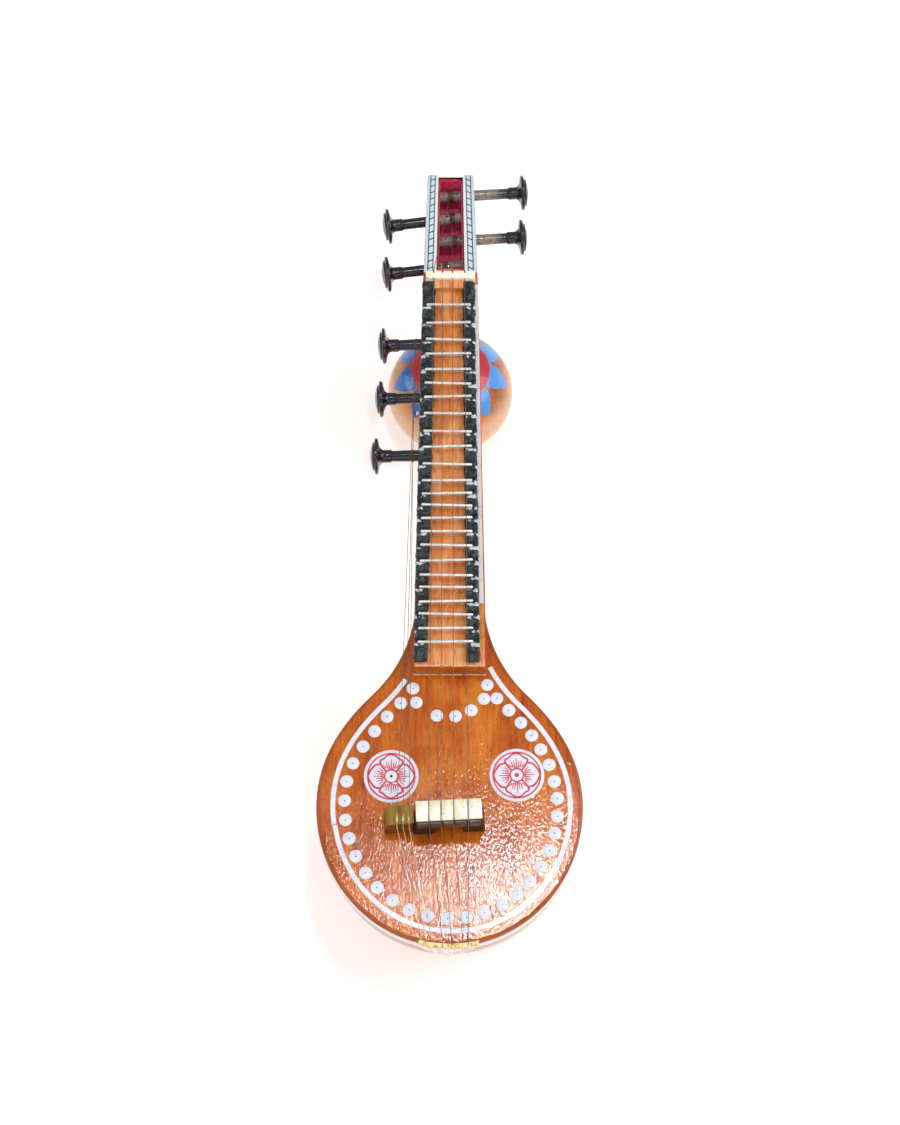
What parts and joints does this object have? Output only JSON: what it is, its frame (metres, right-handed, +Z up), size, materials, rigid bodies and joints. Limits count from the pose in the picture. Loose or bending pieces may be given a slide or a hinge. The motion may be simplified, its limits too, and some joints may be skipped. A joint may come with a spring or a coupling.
{
  "type": "miniature saraswati veena",
  "caption": "Miniature lute with a carved bowl, an inlaid flat soundboard, a fretted neck on wax rails, an open peg box with turned pegs and a painted gourd under the neck.",
  "frame": {"origin": "centre of the object's bounding box, on the surface that it rests on", "axes": "+Y along the neck from tail to head, +Z up out of the soundboard, +X to the right seen from above with the head away"},
  "size_m": [0.1444, 0.4686, 0.1101],
  "materials": {
    "varnished_wood": "orange-brown jackwood under thick glossy varnish, with fine grain",
    "black_wax": "hand-pressed black wax, lumpy, half gloss",
    "fret_metal": "pale nickel-coloured bars with worn edges",
    "brass": "pale polished brass with filing marks and small stains",
    "white_inlay": "white inlay strip under varnish",
    "crimson_lining": "crimson painted lining with scuffs",
    "dark_lacquer": "turned wood in glossy black-brown lacquer, worn pale on the shafts",
    "dark_wood": "dark stained wood with saw marks",
    "string_steel": "thin steel music wire, lightly tarnished",
    "painted_gourd": "orange varnished gourd with a painted red centre and blue petals"
  },
  "bodies": {
    "instrument": {"bowl": "varnished_wood", "soundboard": "varnished_wood", "neck": "varnished_wood", "fretboard": "varnished_wood", "peg_box": "varnished_wood", "scroll_head": "varnished_wood", "gourd_collar": "varnished_wood", "wax_rail_left": "black_wax", "wax_rail_right": "black_wax", "fret_01": "fret_metal", "fret_02": "fret_metal", "fret_03": "fret_metal", "fret_04": "fret_metal", "fret_05": "fret_metal", "fret_06": "fret_metal", "fret_07": "fret_metal", "fret_08": "fret_metal", "fret_09": "fret_metal", "fret_10": "fret_metal", "fret_11": "fret_metal", "fret_12": "fret_metal", "fret_13": "fret_metal", "fret_14": "fret_metal", "fret_15": "fret_metal", "fret_16": "fret_metal", "fret_17": "fret_metal", "fret_18": "fret_metal", "fret_19": "fret_metal", "fret_20": "fret_metal", "fret_21": "fret_metal", "fret_22": "fret_metal", "fret_23": "fret_metal", "fret_24": "fret_metal", "nut": "brass", "bridge_plate": "brass", "side_bridge": "brass", "tailpiece": "brass", "body_binding": "white_inlay", "neck_binding_left": "white_inlay", "neck_binding_right": "white_inlay", "ladder_strip_left": "white_inlay", "ladder_strip_right": "white_inlay", "string_guide": "white_inlay", "peg_box_lining": "crimson_lining", "bridge_base": "dark_wood", "melody_string_1": "string_steel", "melody_string_2": "string_steel", "melody_string_3": "string_steel", "melody_string_4": "string_steel", "drone_string_1": "string_steel", "drone_string_2": "string_steel", "drone_string_3": "string_steel"},
    "melody_peg_1": {"melody_peg_1": "dark_lacquer"},
    "melody_peg_2": {"melody_peg_2": "dark_lacquer"},
    "melody_peg_3": {"melody_peg_3": "dark_lacquer"},
    "melody_peg_4": {"melody_peg_4": "dark_lacquer"},
    "drone_peg_1": {"drone_peg_1": "dark_lacquer"},
    "drone_peg_2": {"drone_peg_2": "dark_lacquer"},
    "drone_peg_3": {"drone_peg_3": "dark_lacquer"},
    "gourd": {"gourd": "painted_gourd"}
  },
  "joints": [
    {"name": "melody_peg_1_turn", "type": "hinge", "parent": "instrument", "child": "melody_peg_1", "pos_m": [0, 0.2216, 0.086], "axis": [0.9977, 0.068, 0], "continuous": true},
    {"name": "melody_peg_2_turn", "type": "hinge", "parent": "instrument", "child": "melody_peg_2", "pos_m": [0, 0.2065, 0.086], "axis": [-0.9907, -0.1357, 0], "continuous": true},
    {"name": "melody_peg_3_turn", "type": "hinge", "parent": "instrument", "child": "melody_peg_3", "pos_m": [0, 0.1912, 0.086], "axis": [0.9976, 0.0698, 0], "continuous": true},
    {"name": "melody_peg_4_turn", "type": "hinge", "parent": "instrument", "child": "melody_peg_4", "pos_m": [0, 0.174, 0.086], "axis": [-0.9912, -0.1323, 0], "continuous": true},
    {"name": "drone_peg_1_turn", "type": "hinge", "parent": "instrument", "child": "drone_peg_1", "pos_m": [0, 0.1236, 0.086], "axis": [-0.9989, -0.0471, 0], "continuous": true},
    {"name": "drone_peg_2_turn", "type": "hinge", "parent": "instrument", "child": "drone_peg_2", "pos_m": [0, 0.0887, 0.086], "axis": [-0.9994, -0.0349, 0], "continuous": true},
    {"name": "drone_peg_3_turn", "type": "hinge", "parent": "instrument", "child": "drone_peg_3", "pos_m": [0, 0.0519, 0.086], "axis": [-0.9998, -0.0209, 0], "continuous": true},
    {"name": "gourd_turn", "type": "hinge", "parent": "instrument", "child": "gourd", "pos_m": [0, 0.1195, 0.03], "axis": [0, 0, 1], "continuous": true}
  ]
}
